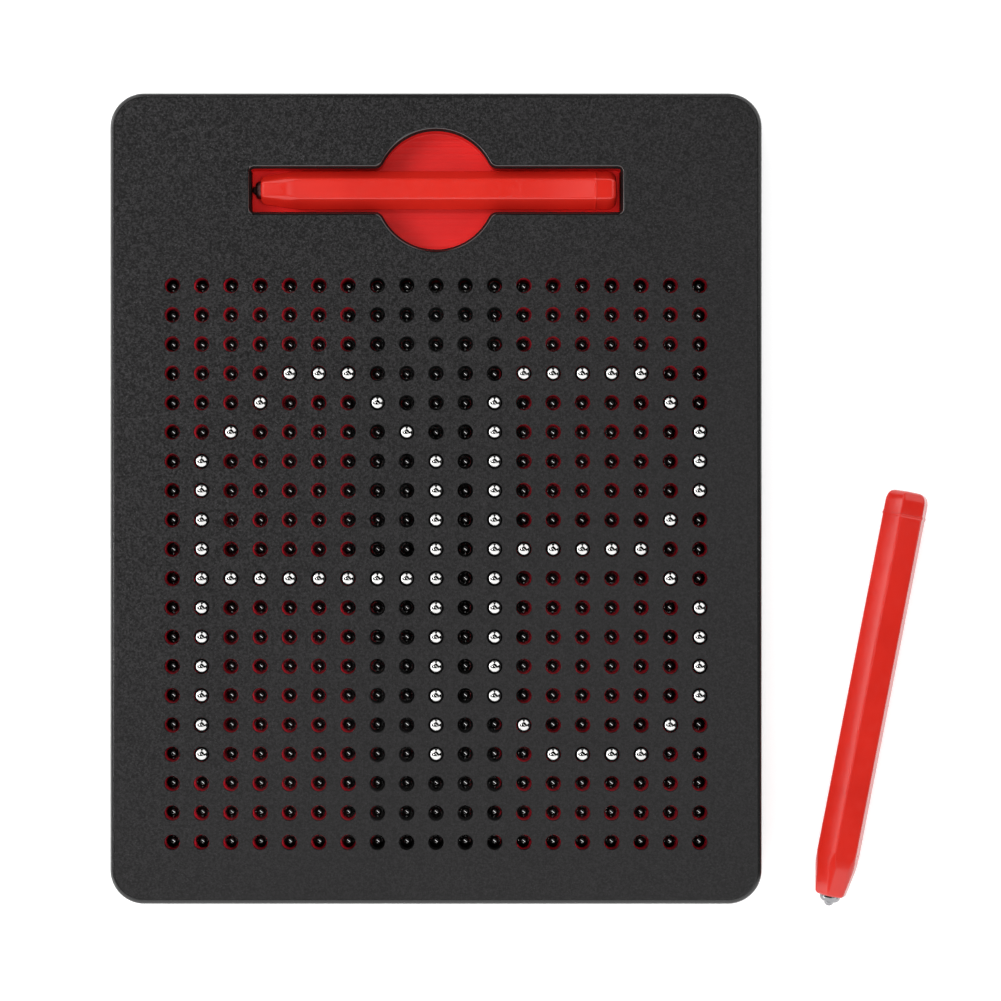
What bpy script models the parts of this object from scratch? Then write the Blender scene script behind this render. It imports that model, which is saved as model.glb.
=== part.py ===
"""Magnetic bead drawing board with a hexagonal stylus in its slot and a spare stylus beside it.

The board lies on the XY plane: X is its width, Y its height with the stylus slot at +Y, and Z its thickness.
The origin is the middle of its underside. The steel beads sit in the holes of a soft sheet, under the pierced
cover. A stylus pulls a bead up into its hole in the cover, and a finger pushes it down again.
All sizes below are in millimetres, and MM turns them into metres.
"""

import math

import bmesh
import bpy
from mathutils import Vector

MM = 0.001

# Board
WIDTH, HEIGHT, THICKNESS = 172.0, 214.0, 12.4
CORNER_RADIUS = 9.0
WALL = 2.0
BACK_THICKNESS = 2.0
GAP = 0.3                       # between two pieces that touch
FACE_THICKNESS = 1.4
CORNER_SEGMENTS = 5

# Beads: columns count from the left, rows from the top
COLUMNS, ROWS = 19, 20
PITCH = 7.73
FIELD_CENTRE_Y = -17.2
BEAD_UP_Z, BEAD_DOWN_Z = 10.25, 6.6
BEAD_HOLE = 4.0                 # side of the square that each bead has in the cover and in the sheet
LINK_RADIUS = 0.35
GROUP_THICKNESS = 0.6           # a sheet with about the steel of the beads it stands for
GROUP_INSET = 0.6

# Bead tray, and the sheet that lies on its walls
TRAY_FLOOR = 0.5
TRAY_TOP = 5.3
TRAY_WALL = 1.0
TRAY_MARGIN = 1.6               # from the outer bead cells to the inside of the tray
SHEET_THICKNESS = 0.45
CENTRE_COLUMNS = (7, 11)        # the middle sheet lies under these columns

# Stylus slot
SLOT_Y = 81.4
SLOT_LENGTH, SLOT_WIDTH = 97.9, 11.6
SLOT_FLOOR = 0.5
SLOT_TRAY_WALL = 1.2
RECESS_RADIUS, RECESS_FILLET = 15.7, 2.6
ARC_SEGMENTS, FILLET_SEGMENTS = 12, 3

# Screws
SCREW_PLACES = [(x, y) for y in (-99.5, 0.0, 99.5) for x in (-78.5, 78.5)]
SCREW_HEAD_RADIUS, SCREW_SHANK_RADIUS = 2.3, 0.9
SCREW_LENGTH = 8.0
BOSS_RADIUS = 2.6

# Stylus, measured from the end of its cap
STYLUS_FLATS = 9.05             # across flats
STYLUS_LENGTH = 96.6
CAP_LENGTH = 5.3
NOSE_START, NOSE_END = 84.3, 94.2
BORE_RADIUS, BORE_END = 2.8, 83.4
MAGNET_RADIUS, MAGNET_START, MAGNET_END = 2.35, 71.0, 83.0
NIB_STEM_RADIUS, NIB_STEM_START = 1.3, 87.4
NIB_FLANGE_RADIUS, NIB_FLANGE_END = 2.35, 95.4
NIB_BALL_RADIUS = 1.1
DOCKED_CENTRE = (-0.5, 81.75)
SPARE_CENTRE = (114.8, -53.2)
SPARE_TURN = -100.9             # degrees, the way its nib points in plan
SPARE_SCALE = 1.16              # the loose stylus is the larger of the two
SPARE_ROLL = -20.0              # degrees about its axis, from lying on a facet towards lying on an edge

BACK_TOP = BACK_THICKNESS
INSIDE_FLOOR = BACK_TOP + GAP
FACE_UNDERSIDE = THICKNESS - FACE_THICKNESS
TRAY_FLOOR_TOP = INSIDE_FLOOR + TRAY_FLOOR
SHEET_Z = TRAY_TOP + GAP
SLOT_FLOOR_TOP = INSIDE_FLOOR + SLOT_FLOOR

FINISHES = {
    "black_plastic": ((0.035, 0.034, 0.035, 1.0), 0.5, 0.0),
    "red_plastic": ((0.70, 0.022, 0.018, 1.0), 0.32, 0.0),
    "red_sheet": ((0.42, 0.008, 0.014, 1.0), 0.6, 0.0),
    "black_sheet": ((0.02, 0.02, 0.02, 1.0), 0.6, 0.0),
    "steel": ((0.62, 0.61, 0.60, 1.0), 0.15, 1.0),
    "magnet": ((0.30, 0.30, 0.31, 1.0), 0.4, 1.0),
}

# The picture on the board: straight or bent strings of raised beads, as (column, row) turning points
RAISED_STROKES = {
    "beads_a_left_leg": [(1, 6), (1, 16)],
    "beads_a_arch": [(2, 5), (4, 3), (6, 3), (8, 5)],
    "beads_a_right_leg": [(9, 6), (9, 16)],
    "beads_a_crossbar": [(2, 10), (8, 10)],
    "beads_b_spine": [(11, 4), (11, 14)],
    "beads_b_top": [(12, 3), (16, 3)],
    "beads_b_upper_bowl": [(17, 4), (18, 5), (18, 7), (17, 8)],
    "beads_b_waist": [(12, 9), (16, 9)],
    "beads_b_lower_bowl": [(17, 10), (18, 11), (18, 14), (17, 15)],
    "beads_b_foot": [(12, 15), (13, 16), (16, 16)],
}
# Full rows of lowered beads above and below the letters
FULL_ROWS = (0, 1, 2, 17, 18, 19)
# Areas of lowered beads that the letters part, each named with one of its beads
LOWERED_AREAS = {
    "beads_left_of_a": (0, 3),
    "beads_in_a_top": (5, 6),
    "beads_in_a_bottom": (5, 13),
    "beads_between_letters": (10, 8),
    "beads_in_b_top": (14, 6),
    "beads_in_b_bottom": (14, 12),
    "beads_right_top": (18, 3),
    "beads_right_middle": (18, 9),
    "beads_right_bottom": (18, 16),
}


def clear_scene():
    for thing in list(bpy.data.objects):
        bpy.data.objects.remove(thing, do_unlink=True)


def set_finish(thing, finish):
    colour, roughness, metallic = FINISHES[finish]
    made = bpy.data.materials.new(thing.name)
    made.use_nodes = True
    shader = made.node_tree.nodes["Principled BSDF"]
    shader.inputs["Base Color"].default_value = colour
    shader.inputs["Roughness"].default_value = roughness
    shader.inputs["Metallic"].default_value = metallic
    thing.data.materials.append(made)


def make_object(name, shape, finish=None, parent=None):
    """Turns a bmesh into an object. One with no finish is a cutter or a guide."""
    bmesh.ops.recalc_face_normals(shape, faces=shape.faces)
    mesh = bpy.data.meshes.new(name)
    shape.to_mesh(mesh)
    shape.free()
    thing = bpy.data.objects.new(name, mesh)
    bpy.context.scene.collection.objects.link(thing)
    thing.parent = parent
    if finish:
        set_finish(thing, finish)
    else:
        thing.hide_render = True
        thing.display_type = "WIRE"
    return thing


def combine(target, tool, operation):
    change = target.modifiers.new(f"{operation.lower()}_{tool.name}", "BOOLEAN")
    change.operation = operation
    change.solver = "EXACT"
    change.object = tool


def loft(shape, rings):
    """Joins rings of equally many points, in millimetres, into one closed body."""
    loops = [[shape.verts.new(Vector(point) * MM) for point in ring] for ring in rings]
    for lower, upper in zip(loops, loops[1:]):
        for i in range(len(lower)):
            j = (i + 1) % len(lower)
            shape.faces.new((lower[i], lower[j], upper[j], upper[i]))
    shape.faces.new(loops[0])
    shape.faces.new(loops[-1])


def at_height(outline, z):
    return [(x, y, z) for x, y in outline]


def add_prism(shape, outline, bottom, top):
    loft(shape, [at_height(outline, bottom), at_height(outline, top)])


def add_ring(shape, outer, inner, bottom, top):
    """A wall between two outlines that have equally many points."""
    walls = [at_height(outer, bottom), at_height(outer, top), at_height(inner, top), at_height(inner, bottom)]
    loops = [[shape.verts.new(Vector(point) * MM) for point in wall] for wall in walls]
    for k in range(4):
        near, far = loops[k], loops[(k + 1) % 4]
        for i in range(len(near)):
            j = (i + 1) % len(near)
            shape.faces.new((near[i], near[j], far[j], far[i]))


def cup_rings(outer, inner, bottom, floor, top):
    return [at_height(outer, bottom), at_height(outer, top), at_height(inner, top), at_height(inner, floor)]


def circle(x, y, radius, sides):
    turns = [2 * math.pi * (i + 0.5) / sides for i in range(sides)]
    return [(x + radius * math.cos(turn), y + radius * math.sin(turn)) for turn in turns]


def arc(x, y, radius, start, end, segments):
    turns = [start + (end - start) * i / segments for i in range(segments + 1)]
    return [(x + radius * math.cos(turn), y + radius * math.sin(turn)) for turn in turns]


def rectangle(x, y, width, height):
    return [(x + sx * width / 2, y + sy * height / 2) for sx, sy in ((-1, -1), (1, -1), (1, 1), (-1, 1))]


def rounded_rectangle(width, height, radius):
    points = []
    for quarter, (sx, sy) in enumerate(((1, 1), (-1, 1), (-1, -1), (1, -1))):
        x, y = sx * (width / 2 - radius), sy * (height / 2 - radius)
        for i in range(CORNER_SEGMENTS + 1):
            turn = math.pi / 2 * (quarter + i / CORNER_SEGMENTS)
            points.append((x + radius * math.cos(turn), y + radius * math.sin(turn)))
    return points


def board_outline(inset):
    return rounded_rectangle(WIDTH - 2 * inset, HEIGHT - 2 * inset, CORNER_RADIUS - inset)


def slot_outline(grow=0.0):
    """The stylus slot and its round finger recess, filleted where they meet, both grown by the same amount."""
    radius, half_length, half_width = RECESS_RADIUS + grow, SLOT_LENGTH / 2 + grow, SLOT_WIDTH / 2 + grow
    fillet = RECESS_FILLET - grow
    fillet_y = half_width + fillet
    fillet_x = math.sqrt((radius + fillet) ** 2 - fillet_y ** 2)
    meet = math.atan2(fillet_y, fillet_x)
    half = [(half_length, -half_width), (half_length, half_width)]
    half += arc(fillet_x, fillet_y, fillet, -math.pi / 2, meet - math.pi, FILLET_SEGMENTS)
    half += arc(0.0, 0.0, radius, meet, math.pi - meet, ARC_SEGMENTS)[1:-1]
    half += arc(-fillet_x, fillet_y, fillet, -meet, -math.pi / 2, FILLET_SEGMENTS)
    return [(side * x, SLOT_Y + side * y) for side in (1, -1) for x, y in half]


def bead_place(cell):
    column, row = cell
    return (column - (COLUMNS - 1) / 2) * PITCH, FIELD_CENTRE_Y + ((ROWS - 1) / 2 - row) * PITCH


def stroke_cells(turning_points):
    """Every bead of a stroke, from its turning points."""
    cells = [turning_points[0]]
    for end in turning_points[1:]:
        while cells[-1] != end:
            step = [(b > a) - (b < a) for a, b in zip(cells[-1], end)]
            cells.append((cells[-1][0] + step[0], cells[-1][1] + step[1]))
    return cells


def area_cells(seed, taken):
    """The lowered beads that touch a first one side by side, between the full rows."""
    found, waiting = set(), [seed]
    while waiting:
        cell = waiting.pop()
        inside = 0 <= cell[0] < COLUMNS and 0 <= cell[1] < ROWS and cell[1] not in FULL_ROWS
        if cell in found or cell in taken or not inside:
            continue
        found.add(cell)
        waiting += [(cell[0] + dx, cell[1] + dy) for dx, dy in ((1, 0), (-1, 0), (0, 1), (0, -1))]
    return found


RAISED_CELLS = {cell for points in RAISED_STROKES.values() for cell in stroke_cells(points)}


def add_bead_holes(shape, bottom, top, columns=(0, COLUMNS - 1)):
    for column in range(columns[0], columns[1] + 1):
        for row in range(ROWS):
            add_prism(shape, rectangle(*bead_place((column, row)), BEAD_HOLE, BEAD_HOLE), bottom, top)


def tray_outline(grow):
    width, height = COLUMNS * PITCH + 2 * grow, ROWS * PITCH + 2 * grow
    return rectangle(0.0, FIELD_CENTRE_Y, width, height)


def make_top_cover():
    """The face with its walls: pierced over the beads, and open over the stylus."""
    shape = bmesh.new()
    edge = [(INSIDE_FLOOR, 0.0), (11.3, 0.0), (11.9, 0.2), (12.25, 0.6), (THICKNESS, 1.2)]
    loft(shape, [at_height(board_outline(inset), z) for z, inset in edge])
    cover = make_object("top_cover", shape, "black_plastic")

    cavity = bmesh.new()
    add_prism(cavity, board_outline(WALL), 0.0, FACE_UNDERSIDE)
    combine(cover, make_object("cover_cavity", cavity), "DIFFERENCE")

    into_face = FACE_UNDERSIDE + 0.5
    ribs = bmesh.new()
    add_ring(ribs, tray_outline(TRAY_MARGIN + TRAY_WALL), tray_outline(TRAY_MARGIN),
             SHEET_Z + SHEET_THICKNESS + GAP, into_face)
    for x, y in SCREW_PLACES:
        add_prism(ribs, circle(x, y, BOSS_RADIUS, 8), INSIDE_FLOOR, into_face)
    combine(cover, make_object("cover_ribs", ribs), "UNION")

    openings = bmesh.new()
    add_prism(openings, slot_outline(), 0.0, THICKNESS + 1.0)
    add_bead_holes(openings, FACE_UNDERSIDE - 0.5, THICKNESS + 1.0)
    for x, y in SCREW_PLACES:
        add_prism(openings, circle(x, y, SCREW_SHANK_RADIUS + GAP, 8), 0.0, SCREW_LENGTH + 2.0)
    combine(cover, make_object("cover_openings", openings), "DIFFERENCE")


def make_back_cover():
    shape = bmesh.new()
    edge = [(0.0, 0.8), (0.6, 0.1), (BACK_TOP, 0.0)]
    loft(shape, [at_height(board_outline(inset), z) for z, inset in edge])
    back = make_object("back_cover", shape, "black_plastic")

    lip = bmesh.new()
    add_ring(lip, board_outline(WALL + GAP), board_outline(WALL + 1.5), 1.0, 4.0)
    combine(back, make_object("back_lip", lip), "UNION")

    holes = bmesh.new()
    for x, y in SCREW_PLACES:
        head, shank = SCREW_HEAD_RADIUS + GAP, SCREW_SHANK_RADIUS + GAP
        rings = [at_height(circle(x, y, r, 8), z) for r, z in
                 ((head, -1.0), (head, 1.3), (shank, 1.3), (shank, BACK_TOP + 1.0))]
        loft(holes, rings)
    combine(back, make_object("back_screw_holes", holes), "DIFFERENCE")


def make_screws():
    for number, (x, y) in enumerate(SCREW_PLACES, 1):
        shape = bmesh.new()
        head, shank = SCREW_HEAD_RADIUS, SCREW_SHANK_RADIUS
        rings = ((head - 0.3, 0.2), (head, 0.5), (head, 1.0), (shank, 1.0), (shank, SCREW_LENGTH))
        loft(shape, [at_height(circle(x, y, r, 8), z) for r, z in rings])
        make_object(f"case_screw_{number}", shape, "steel")


def make_trays():
    shape = bmesh.new()
    outer, inner = tray_outline(TRAY_MARGIN + TRAY_WALL), tray_outline(TRAY_MARGIN)
    loft(shape, cup_rings(outer, inner, INSIDE_FLOOR, TRAY_FLOOR_TOP, TRAY_TOP))
    make_object("bead_tray", shape, "black_plastic")

    shape = bmesh.new()
    loft(shape, cup_rings(slot_outline(SLOT_TRAY_WALL), slot_outline(), INSIDE_FLOOR, SLOT_FLOOR_TOP,
                          FACE_UNDERSIDE - GAP))
    make_object("stylus_tray", shape, "red_plastic")


def make_sheets():
    """The sheet that the beads sit in, cut in three: red, black under the middle columns, and red."""
    first, last = CENTRE_COLUMNS
    strips = [("left_sheet", 0, first - 1, "red_sheet"), ("centre_sheet", first, last, "black_sheet"),
              ("right_sheet", last + 1, COLUMNS - 1, "red_sheet")]
    height = ROWS * PITCH + 2 * (TRAY_MARGIN + TRAY_WALL) - 2 * GAP
    top = SHEET_Z + SHEET_THICKNESS
    for name, start, end, finish in strips:
        low = bead_place((start, 0))[0] - PITCH / 2
        high = bead_place((end, 0))[0] + PITCH / 2
        low += GAP / 2 if start else -(TRAY_MARGIN + TRAY_WALL - GAP)
        high += TRAY_MARGIN + TRAY_WALL - GAP if end == COLUMNS - 1 else -GAP / 2
        shape = bmesh.new()
        add_prism(shape, rectangle((low + high) / 2, FIELD_CENTRE_Y, high - low, height), SHEET_Z, top)
        sheet = make_object(name, shape, finish)
        holes = bmesh.new()
        add_bead_holes(holes, SHEET_Z - 1.0, top + 1.0, (start, end))
        combine(sheet, make_object(f"{name}_holes", holes), "DIFFERENCE")


def make_raised_stroke(name, cells):
    """A string of beads with a thin link from each to the next, so that it moves as one."""
    centres = [Vector((*bead_place(cell), BEAD_UP_Z)) for cell in cells]
    steps = [(b - a).normalized() for a, b in zip(centres, centres[1:])]
    profile = ((-1.95, LINK_RADIUS), (-0.8, 1.83), (0.8, 1.83), (1.95, LINK_RADIUS))
    rings = []
    for i, centre in enumerate(centres):
        before, after = steps[max(i - 1, 0)], steps[min(i, len(steps) - 1)]
        along = (before, (before + after).normalized(), (before + after).normalized(), after)
        for (offset, radius), direction in zip(profile, along):
            side, up = Vector((0, 0, 1)).cross(direction), Vector((0, 0, 1))
            turns = [math.pi * k / 3 for k in range(6)]
            rings.append([centre + direction * offset + radius * (side * math.cos(t) + up * math.sin(t))
                          for t in turns])
    shape = bmesh.new()
    loft(shape, rings)
    make_object(name, shape, "steel")


def make_lowered_group(name, cells):
    """A thin steel sheet for a group of lowered beads, inset from the cells of its neighbours."""
    shape = bmesh.new()
    half = PITCH / 2 - GROUP_INSET
    corners = {}

    def corner(x, y):
        key = round(x, 4), round(y, 4)
        if key not in corners:
            corners[key] = shape.verts.new((x * MM, y * MM, (BEAD_DOWN_Z - GROUP_THICKNESS / 2) * MM))
        return corners[key]

    def fill(x0, x1, y0, y1):
        shape.faces.new((corner(x0, y0), corner(x1, y0), corner(x1, y1), corner(x0, y1)))

    for column, row in sorted(cells):
        x, y = bead_place((column, row))
        right, below = x + PITCH, y - PITCH
        beside, under = (column + 1, row) in cells, (column, row + 1) in cells
        fill(x - half, x + half, y - half, y + half)
        if beside:
            fill(x + half, right - half, y - half, y + half)
        if under:
            fill(x - half, x + half, below + half, y - half)
        if beside and under and (column + 1, row + 1) in cells:
            fill(x + half, right - half, below + half, y - half)
    flat = math.radians(1)
    bmesh.ops.dissolve_limit(shape, angle_limit=flat, verts=shape.verts, edges=shape.edges)
    grown = bmesh.ops.extrude_face_region(shape, geom=shape.faces[:])["geom"]
    lifted = [item for item in grown if isinstance(item, bmesh.types.BMVert)]
    bmesh.ops.translate(shape, verts=lifted, vec=(0, 0, GROUP_THICKNESS * MM))
    make_object(name, shape, "steel")


def make_beads():
    for name, points in RAISED_STROKES.items():
        make_raised_stroke(name, stroke_cells(points))
    for row in FULL_ROWS:
        make_lowered_group(f"beads_row_{row + 1:02d}", {(column, row) for column in range(COLUMNS)})
    for name, seed in LOWERED_AREAS.items():
        make_lowered_group(name, area_cells(seed, RAISED_CELLS))


def round_ring(along, radius, sides, scale):
    """A ring about the stylus's axis, at a distance from the end of its cap."""
    turns = [2 * math.pi * i / sides for i in range(sides)]
    reach, radius = scale * (along - STYLUS_LENGTH / 2), scale * radius
    return [(reach, radius * math.cos(t), radius * math.sin(t)) for t in turns]


def make_stylus(name, centre, turn, roll=0.0, scale=1.0):
    """A stylus about its own centre, with its nib at +X, hung on an empty at its place."""
    holder = bpy.data.objects.new(f"{name}_place", None)
    bpy.context.scene.collection.objects.link(holder)
    holder.location = Vector(centre) * MM
    holder.rotation_euler = (math.radians(roll), 0, math.radians(turn))
    corner = STYLUS_FLATS / math.sqrt(3)

    def piece(part, rings, sides, finish):
        shape = bmesh.new()
        loft(shape, [round_ring(along, radius, sides, scale) for along, radius in rings])
        return make_object(f"{name}_{part}", shape, finish, holder)

    plug = BORE_RADIUS - 2 * GAP
    piece("cap", [(0.0, 0.78 * corner), (0.4, 0.92 * corner), (1.3, corner), (CAP_LENGTH, corner),
                  (CAP_LENGTH, plug), (CAP_LENGTH + 4.0, plug)], 6, "red_plastic")
    barrel = piece("barrel", [(CAP_LENGTH + GAP, corner), (NOSE_START, corner), (NOSE_END - 2.5, 0.76 * corner),
                              (NOSE_END - 0.8, 0.71 * corner), (NOSE_END, 0.62 * corner)], 6, "red_plastic")
    nib_hole = NIB_STEM_RADIUS + 1.3 * GAP
    bore = piece("bore", [(CAP_LENGTH - 1.0, BORE_RADIUS), (BORE_END, BORE_RADIUS), (BORE_END, nib_hole),
                          (NOSE_END + 1.0, nib_hole)], 10, None)
    combine(barrel, bore, "DIFFERENCE")
    piece("magnet", [(MAGNET_START, MAGNET_RADIUS), (MAGNET_END, MAGNET_RADIUS)], 10, "magnet")
    seat = NOSE_END + GAP
    piece("nib_collar", [(NIB_STEM_START, NIB_STEM_RADIUS), (seat, NIB_STEM_RADIUS), (seat, NIB_FLANGE_RADIUS),
                         (seat + 0.5, 2.1), (NIB_FLANGE_END, 1.7), (NIB_FLANGE_END, 1.4), (seat - 0.4, 0.7)],
          10, "steel")
    middle = STYLUS_LENGTH - NIB_BALL_RADIUS
    slices = [math.radians(angle) for angle in (-85, -45, 0, 45, 85)]
    piece("nib_ball", [(middle + NIB_BALL_RADIUS * math.sin(s), NIB_BALL_RADIUS * math.cos(s)) for s in slices],
          8, "steel")


def main():
    clear_scene()
    make_top_cover()
    make_back_cover()
    make_screws()
    make_trays()
    make_sheets()
    make_beads()
    make_stylus("docked_stylus", (*DOCKED_CENTRE, SLOT_FLOOR_TOP + GAP + STYLUS_FLATS / 2), 180.0)
    corner = SPARE_SCALE * STYLUS_FLATS / math.sqrt(3)
    rest = corner * math.cos(math.radians(30 - abs(SPARE_ROLL)))
    make_stylus("spare_stylus", (*SPARE_CENTRE, rest), SPARE_TURN, SPARE_ROLL, SPARE_SCALE)


main()
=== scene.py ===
"""Looks for the magnetic bead drawing board: pierced cover, sheets, wells, balls and two styluses.

Sizes are in millimetres in the part's own frame, and MM turns them into metres. The lights and the
floor are in metres. The camera looks straight down. An inset is a distance in from an outline, and
a growth is one out from it.
"""

import math

import bmesh
import bpy
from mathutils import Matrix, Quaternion, Vector
from mathutils.geometry import tessellate_polygon


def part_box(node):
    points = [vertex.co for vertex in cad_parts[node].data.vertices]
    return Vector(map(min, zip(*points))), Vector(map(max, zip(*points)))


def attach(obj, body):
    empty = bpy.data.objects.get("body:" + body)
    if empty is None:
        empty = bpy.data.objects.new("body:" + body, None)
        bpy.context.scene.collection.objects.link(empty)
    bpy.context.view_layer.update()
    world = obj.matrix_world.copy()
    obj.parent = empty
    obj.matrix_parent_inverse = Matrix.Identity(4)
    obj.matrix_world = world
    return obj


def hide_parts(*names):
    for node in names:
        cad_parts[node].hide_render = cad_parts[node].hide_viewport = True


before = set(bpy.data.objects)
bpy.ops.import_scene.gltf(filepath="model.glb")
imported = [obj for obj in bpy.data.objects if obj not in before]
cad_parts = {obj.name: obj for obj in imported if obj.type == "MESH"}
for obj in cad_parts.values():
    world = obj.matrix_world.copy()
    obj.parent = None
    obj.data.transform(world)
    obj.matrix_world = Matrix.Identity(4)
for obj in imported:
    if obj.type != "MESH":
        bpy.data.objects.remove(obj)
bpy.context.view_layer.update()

MM = 0.001
FLAT_ANGLE = math.radians(35)

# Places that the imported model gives, in millimetres
cover_low, cover_high = (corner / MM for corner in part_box("top_cover"))
back_low, back_high = (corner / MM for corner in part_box("back_cover"))
tray_low, tray_high = (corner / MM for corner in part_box("bead_tray"))
slot_low, slot_high = (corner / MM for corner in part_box("stylus_tray"))
FACE_Z = cover_high.z
WIDTH, HEIGHT = cover_high.x - cover_low.x, cover_high.y - cover_low.y
SLOT_Y = (slot_low.y + slot_high.y) / 2
FIELD_Y = (tray_low.y + tray_high.y) / 2

# Board
CORNER_RADIUS, CORNER_STEPS = 9.0, 18
EDGE_RADIUS, EDGE_STEPS = 1.3, 8
WALL = 2.0
UNDERSIDE_Z = FACE_Z - 1.4
BOSS_RADIUS = 2.6
PILOT_RADIUS, PILOT_TOP = 1.2, 9.0
COVER_FOOT_PROFILE = [(0.25, 0.0), (0.08, 0.08), (0.0, 0.3)]              # inset, height

# Back: profiles of inset, or of added radius, against height or depth
BACK_TOP = 2.0
BACK_LOWER_PROFILE = [(1.1, 0.0), (0.7, 0.08), (0.36, 0.26), (0.12, 0.55), (0.0, 0.95)]
BACK_UPPER_PROFILE = [(0.0, 0.3), (0.08, 0.08), (0.25, 0.0)]
LIP_CLEARANCE, LIP_THICKNESS, LIP_CHAMFER = 0.3, 1.2, 0.2
SCREW_HEAD_HOLE, SCREW_HEAD_DEPTH = 2.6, 1.3
SCREW_HOLE_MOUTH = [(0.25, 0.0), (0.06, 0.07), (0.0, 0.25)]
SCREW_HOLE_SIDES = 28

# Screws, with their heads down
SCREW_NODES = sorted(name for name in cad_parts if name.startswith("case_screw_"))
SCREW_PLACES = [sum(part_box(name), Vector()) / 2 / MM for name in SCREW_NODES]
SCREW_HEAD_PROFILE = [(0.55, 0.0), (0.2, 0.1), (0.0, 0.35), (0.0, 0.8)]   # inset, height
SCREW_HEAD_SPREAD = 0.15                  # how much wider the head's radius is than in the CAD
SCREW_HEAD_HEIGHT = 0.8
SCREW_SHANK_RADIUS, SCREW_TIP_RADIUS, SCREW_TIP_LENGTH = 0.9, 0.25, 1.0
CROSS_HALF_LENGTH, CROSS_HALF_WIDTH, CROSS_DEPTH, CROSS_TAPER = 1.15, 0.28, 0.75, 0.6
TURNED_SIDES = 24                         # of screws and screw bosses

# Beads and their holes
COLUMNS, ROWS, PITCH = 19, 20, 7.73
BALL_RADIUS = 1.97
BALL_UP_Z, BALL_DOWN_Z = 11.2, 7.55
BALL_SAG = -0.05                          # lowered balls lie towards the lower edge of their holes
UP_BALL_STEPS, DOWN_BALL_STEPS = (32, 20), (24, 14)                       # segments, rings
HOLE_SIDES, SEAT_SIDES = 24, 20
HOLE_PROFILE = [(2.15, 0.0), (2.10, 0.02), (2.07, 0.07), (2.05, 0.18), (2.05, 1.25),
                (2.12, 1.4)]              # radius, depth
SEAT_RADIUS = 1.35
SEAT_MOUTH, SEAT_FOOT = [(0.12, 0.0), (0.03, 0.04), (0.0, 0.12)], [(0.0, 0.08), (0.08, 0.0)]
WELL_RADIUS, WELL_FLOOR_RADIUS, WELL_DEPTH = 2.25, 1.6, 2.0
WELL_CHAMFER, WELL_SLOPE = (0.15, 0.2), 0.5
SHEET_COLUMNS = {"left_sheet": (0, 6), "centre_sheet": (7, 11), "right_sheet": (12, 18)}

# Stylus slot
SLOT_LENGTH, SLOT_WIDTH = 97.9, 11.6
RECESS_RADIUS, RECESS_FILLET = 15.7, 2.6
SLOT_CORNER, SLOT_CORNER_STEPS = 0.9, 4
ARC_STEPS, FILLET_STEPS = 28, 6
SLOT_EDGE = [(0.84, 0.0), (0.71, 0.02), (0.59, 0.08), (0.49, 0.17), (0.42, 0.29), (0.38, 0.42),
             (-0.08, 1.4)]                # growth, depth
SLOT_TRAY_WALL, SLOT_TRAY_CHAMFER = 1.2, 0.1
SLOT_FLOOR_Z = slot_low.z + 0.5
SLOT_TRAY_INSIDE = 0.4
SLOT_FLOOR_PROFILE = [(SLOT_TRAY_INSIDE, 0.5), (0.2, 0.1), (-0.1, 0.0)]   # growth, height
RIB_PITCH, RIB_WIDTH, RIB_HEIGHT = 1.75, 0.9, 0.07
RIB_FOOT, RIB_SHOULDER, RIB_CROWN, RIB_GAP = -0.1, 0.02, 0.55, 0.2
# Dark plates at the slot's ends, a painted shade
END_SHADE_THICKNESS, END_SHADE_INSET = 0.35, 0.4
END_SHADE_FOOT, END_SHADE_TOP_GAP = 0.2, 0.05

# Stylus: places along it are measured from the end of its cap, or from where a comment says, and
# the second number of a pair is a share of the full section, or a radius where a comment says so
STYLUS_LENGTH, STYLUS_FLATS = 96.6, 9.05
FACET_TRIM = 0.32                         # taken off half a facet to round its corner
HALF_FLATS = STYLUS_FLATS / 2
HALF_FACET = HALF_FLATS * math.tan(math.pi / 6) - FACET_TRIM
FACET_SUPPORT, FACET_SUPPORT_SHARE = 0.12, 0.2        # how far inside a facet's edge it stays flat
CORNER_BULGE = 0.05
CAP_LENGTH = 5.3
CAP_DOME = [(0.0, 0.52), (0.06, 0.64), (0.2, 0.74), (0.42, 0.82), (0.72, 0.88), (1.1, 0.93),
            (1.6, 0.968), (2.15, 0.99), (2.8, 1.0)]
CAP_LIP = [(-0.3, 1.0), (-0.12, 1.012), (0.0, 1.012)]                     # from CAP_LENGTH
CAP_PLUG = [(0.0, 3.4), (0.3, 3.4), (0.3, 2.3), (4.0, 2.3)]               # from it too, radii
BARREL_LIP = [(0.02, 1.012), (0.1, 1.026), (0.25, 1.034), (0.42, 1.03), (0.6, 1.012),
              (0.8, 1.0)]                                                 # from it too
BARREL_STATIONS = (30.0, 60.0)
NOSE_START, NOSE_END, NOSE_STEPS = 84.3, 94.2, 12
NOSE_LEAD, NOSE_TIP = 0.6, 0.75           # before its start and its end
NOSE_FACET, NOSE_NARROWING, NOSE_REACH, NOSE_CURVE = 1.6, 1.5, 0.42, 1.4
NOSE_BULGE = 0.03
NOSE_ROUNDING = [(-0.45, 0.965), (-0.22, 0.90), (-0.08, 0.82), (0.0, 0.72)]    # from NOSE_END
NOSE_MOUTH = [(-0.03, 2.55), (-0.12, 2.45), (-0.7, 2.42)]                      # from it, radii
COLLAR = [(-6.8, 1.3), (-0.6, 1.3), (-0.6, 2.4), (0.05, 2.4), (0.4, 2.37), (0.75, 2.25),
          (1.05, 2.03), (1.28, 1.74), (1.42, 1.42), (1.42, 1.24), (1.2, 1.1)]  # from it, radii
ROUND_SIDES = 30
NIB_BALL_RADIUS, NIB_BALL_REACH, NIB_BALL_STEPS = 1.1, 88, 18                  # mm, degrees, count
STYLUS_SCALES = {"docked_stylus": 1.0, "spare_stylus": 1.16}
STYLUS_ROLLS = {"docked_stylus": 0.0, "spare_stylus": -12.0}                   # degrees

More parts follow.
